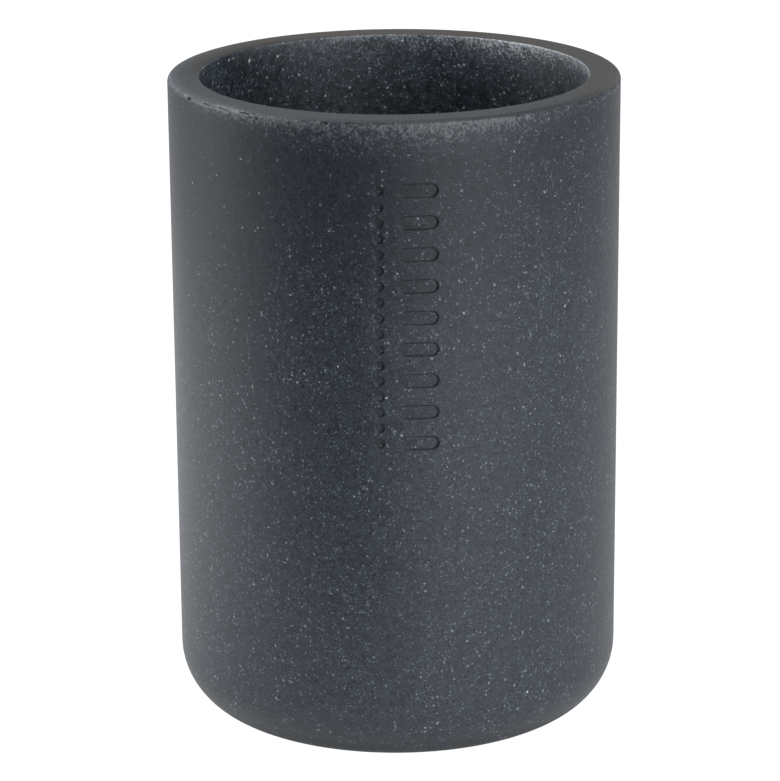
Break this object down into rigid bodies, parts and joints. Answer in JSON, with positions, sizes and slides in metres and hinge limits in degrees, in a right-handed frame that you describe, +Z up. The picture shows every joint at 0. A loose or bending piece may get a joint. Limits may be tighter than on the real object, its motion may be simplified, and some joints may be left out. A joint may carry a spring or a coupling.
{
  "type": "bathroom tumbler",
  "caption": "Straight round bathroom tumbler in dark flecked cast resin, with a flat rim, a rounded foot, a debossed motif of bars and dimples, and a bonded non-slip foam pad.",
  "frame": {"origin": "middle of the underside of the foam pad, on the plane that the tumbler stands on", "axes": "+Z up along the vessel's axis, towards the open rim; -Y towards the front, where the debossed motif is; +X to the right as seen from the front"},
  "size_m": [0.075, 0.075, 0.11],
  "materials": {
    "cast_resin": "matte",
    "adhesive": "satin",
    "foam": "matte"
  },
  "bodies": {
    "root": {"tumbler_body": "cast_resin", "adhesive_film": "adhesive", "base_pad": "foam"}
  },
  "joints": []
}
